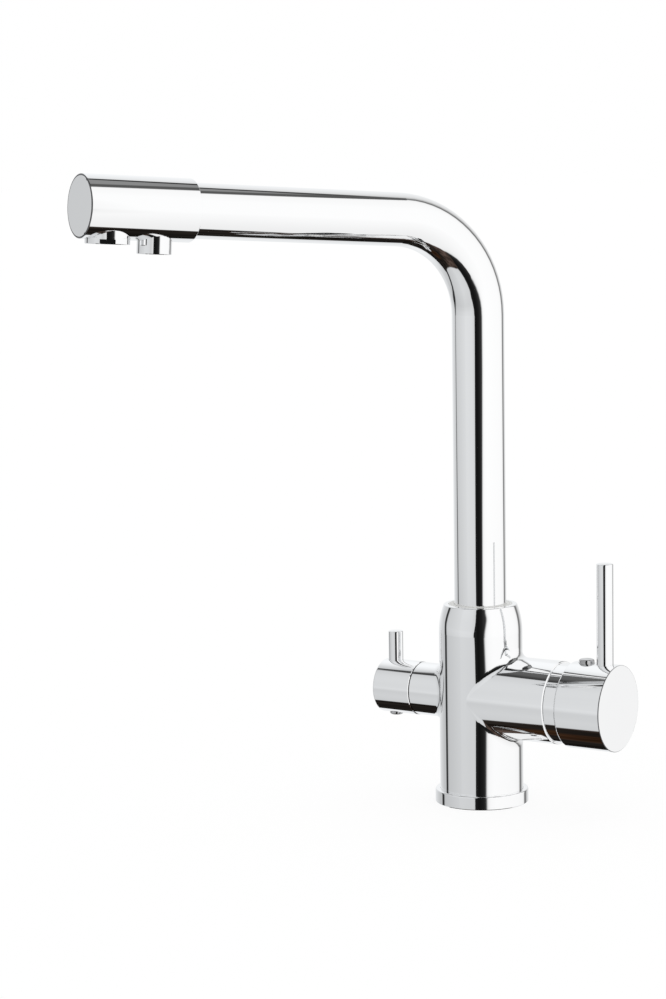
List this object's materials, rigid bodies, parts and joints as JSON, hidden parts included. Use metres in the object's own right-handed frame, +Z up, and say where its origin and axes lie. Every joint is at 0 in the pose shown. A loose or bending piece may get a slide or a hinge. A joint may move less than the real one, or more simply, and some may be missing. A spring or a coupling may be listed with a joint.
{
  "type": "three way filtered water tap",
  "caption": "Chrome kitchen mixer tap with a swivelling L-shaped spout, a side mixer lever and a second lever and outlet for filtered water.",
  "frame": {"origin": "centre of the foot's underside, on the worktop", "axes": "+Z up along the column, +X towards the mixer handle, -X towards the filtered water knob, -Y to the front"},
  "size_m": [0.2074, 0.2308, 0.3414],
  "materials": {
    "chrome_casting": "polished chrome plate",
    "chrome_tube": "polished chrome plate",
    "chrome_trim": "polished chrome plate",
    "chrome_handle": "polished chrome plate",
    "brass": "turned",
    "steel": "satin",
    "black_rubber": "matt",
    "white_plastic": "satin",
    "grey_plastic": "satin",
    "hose_plastic": "milky",
    "ceramic": "lapped"
  },
  "bodies": {
    "tap": {"base_ring": "chrome_trim", "seat_gasket": "black_rubber", "tap_body": "chrome_casting", "inlet_block": "brass", "upper_bearing": "white_plastic", "spout_retaining_screw": "steel", "cartridge_housing": "white_plastic", "cartridge_port_seals": "black_rubber", "cartridge_fixed_disc": "ceramic", "cartridge_nut": "brass", "cartridge_cover_ring": "chrome_trim", "filter_end_seal": "black_rubber", "filter_headwork": "brass", "filter_fixed_disc": "ceramic"},
    "spout": {"spout_tube": "chrome_tube", "swivel_foot": "brass", "swivel_seals": "black_rubber", "filter_hose": "hose_plastic", "filter_spigot": "brass", "spigot_seal": "black_rubber", "spout_head": "chrome_tube", "head_end_cap": "chrome_trim", "aerator_ring": "chrome_trim", "aerator_washer": "black_rubber", "aerator_insert": "grey_plastic", "filter_nozzle": "chrome_trim", "nozzle_seal": "black_rubber", "nozzle_insert": "grey_plastic"},
    "mixer_rotor": {"cartridge_rotor": "grey_plastic", "cartridge_pivot_pin": "steel"},
    "mixer_disc": {"cartridge_moving_disc": "ceramic", "cartridge_disc_slider": "grey_plastic"},
    "mixer_handle": {"cartridge_stem": "brass", "mixer_handle_cap": "chrome_handle", "mixer_lever_rod": "chrome_handle", "mixer_grub_screw": "steel", "mixer_cap_plug": "chrome_trim"},
    "filter_handle": {"filter_moving_disc": "ceramic", "filter_spindle": "brass", "spindle_seal": "black_rubber", "spindle_clip": "steel", "filter_knob": "chrome_handle", "filter_lever_rod": "chrome_handle", "filter_grub_screw": "steel", "filter_knob_plug": "chrome_trim"}
  },
  "joints": [
    {"name": "spout_swivel", "type": "hinge", "parent": "tap", "child": "spout", "pos_m": [0, 0, 0], "axis": [0, 0, 1], "range_deg": [-81, 139]},
    {"name": "temperature_turn", "type": "hinge", "parent": "tap", "child": "mixer_rotor", "pos_m": [0, 0, 0.0584], "axis": [1, 0, 0], "range_deg": [-50, 50]},
    {"name": "flow_lift", "type": "hinge", "parent": "mixer_rotor", "child": "mixer_handle", "pos_m": [0.0405, 0, 0.0584], "axis": [0, 1, 0], "range_deg": [0, 25]},
    {"name": "disc_slide", "type": "slide", "parent": "mixer_rotor", "child": "mixer_disc", "axis": [0, 0, 1], "range_m": [0, 0.0024]},
    {"name": "filter_turn", "type": "hinge", "parent": "tap", "child": "filter_handle", "pos_m": [0, 0, 0.0584], "axis": [1, 0, 0], "range_deg": [0, 90]}
  ],
  "couplings": [
    {"joint": "disc_slide", "follows": "flow_lift", "m_per_rad": 0.0055}
  ]
}
